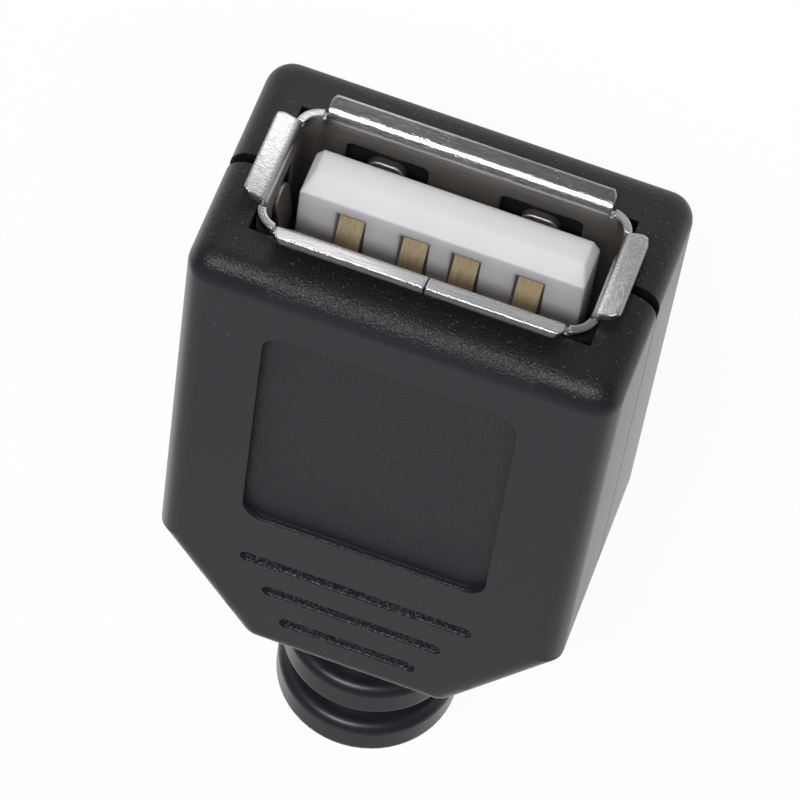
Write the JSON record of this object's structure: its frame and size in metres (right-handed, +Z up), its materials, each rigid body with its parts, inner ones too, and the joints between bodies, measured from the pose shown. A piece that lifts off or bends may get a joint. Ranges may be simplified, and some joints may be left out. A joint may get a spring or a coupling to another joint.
{
  "type": "type a cable socket connector",
  "caption": "Cable-mounted type A socket: flared metal shield, insulator tongue with sprung contacts, and a two-half plastic housing with a ribbed cable collar.",
  "frame": {"origin": "centre of the bounding box's underside: the middle of the length and width, on the surface that the rear wide face rests on", "axes": "+Z up out of the wide face with the panel and finger grooves, +Y from the mating face towards the cable end, X across the width"},
  "size_m": [0.0168, 0.0354, 0.0102],
  "materials": {
    "housing": "satin moulded",
    "shield": "nickel plated",
    "insulator": "smooth",
    "contact": "plated"
  },
  "bodies": {
    "root": {"upper_shell": "housing", "lower_shell": "housing", "shield": "shield", "insulator": "insulator", "contact_1": "contact", "contact_2": "contact", "contact_3": "contact", "contact_4": "contact"}
  },
  "joints": []
}
